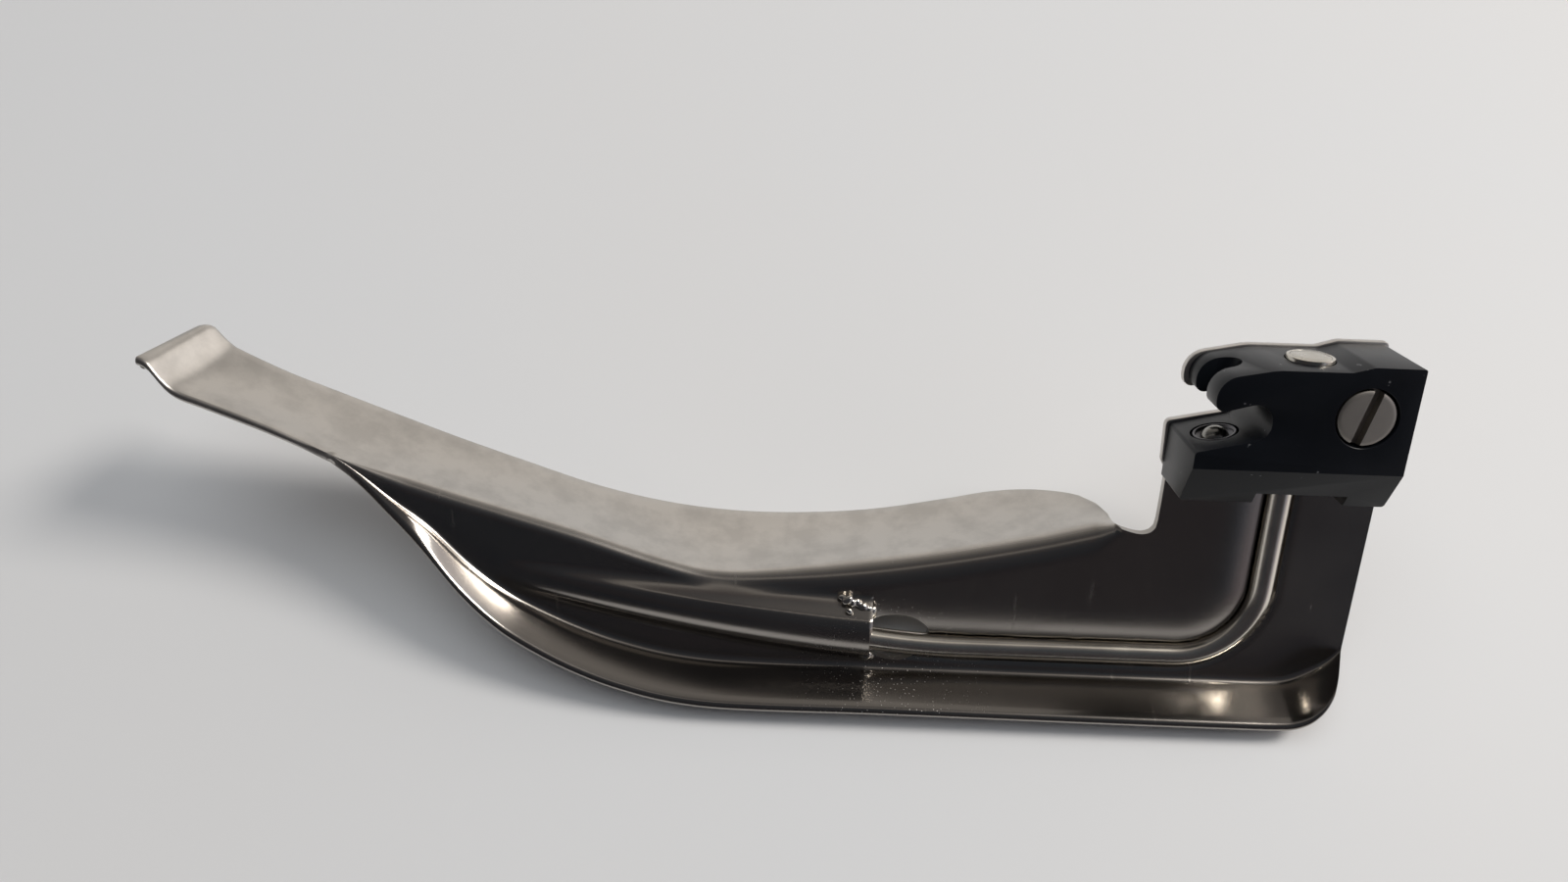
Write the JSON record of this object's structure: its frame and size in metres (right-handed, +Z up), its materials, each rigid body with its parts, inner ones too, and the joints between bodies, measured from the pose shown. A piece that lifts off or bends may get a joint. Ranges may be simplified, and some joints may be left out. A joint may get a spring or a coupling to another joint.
{
  "type": "laryngoscope blade",
  "caption": "Curved laryngoscope blade: pressed steel tongue, web and flange, a fibre light guide under a tunnel, and a black hook-on housing with spring ball detent and slotted screw.",
  "frame": {"origin": "centre of the footprint on the surface the blade lies on, resting on its right side", "axes": "+X along the blade from tip to heel, +Z up from the surface, +Y towards the handle side"},
  "size_m": [0.16, 0.0456, 0.0439],
  "materials": {
    "stainless_sheet": "satin tongue, mirror-polished web and flange",
    "braze": "bright smooth fused metal",
    "black_anodised": "black anodised, satin",
    "polished_steel": "polished stainless steel",
    "screw_steel": "turned steel, slightly dull",
    "fibre": "bundle of glass fibres",
    "fibre_face": "ground and polished fibre end",
    "epoxy": "amber potting resin",
    "lens": "clear glass"
  },
  "bodies": {
    "blade": {"blade_shell": "stainless_sheet", "weld_bead_upper": "braze", "weld_bead_lower": "braze", "light_guide_housing": "black_anodised", "dowel_left": "screw_steel", "dowel_right": "screw_steel", "light_tube": "polished_steel", "fibre_bundle": "fibre", "inlet_ferrule": "polished_steel", "inlet_fibre_face": "fibre_face", "inlet_potting": "epoxy", "outlet_ferrule": "polished_steel", "outlet_lens": "lens", "screw_bush": "screw_steel", "detent_sleeve": "polished_steel", "detent_spring": "screw_steel", "detent_plug": "screw_steel"},
    "ball": {"detent_ball": "polished_steel"},
    "washer": {"screw_washer": "screw_steel"},
    "screw": {"housing_screw": "screw_steel"}
  },
  "joints": [
    {"name": "ball_press", "type": "slide", "parent": "blade", "child": "ball", "axis": [0.2344, -0.6512, -0.7218], "range_m": [0, 0.0006], "stiffness_N_per_m": 2000, "springref_m": -0.0015, "deforming": ["detent_spring"]},
    {"name": "screw_travel", "type": "slide", "parent": "blade", "child": "washer", "axis": [-0.0009, -0.7427, 0.6697], "range_m": [0, 0.0056]},
    {"name": "screw_turn", "type": "hinge", "parent": "washer", "child": "screw", "pos_m": [0.07022, 0.00946, 0.03555], "axis": [-0.0009, -0.7427, 0.6697], "range_deg": [0, 2881]}
  ],
  "couplings": [
    {"joint": "screw_turn", "follows": "screw_travel", "rad_per_m": 8976}
  ]
}
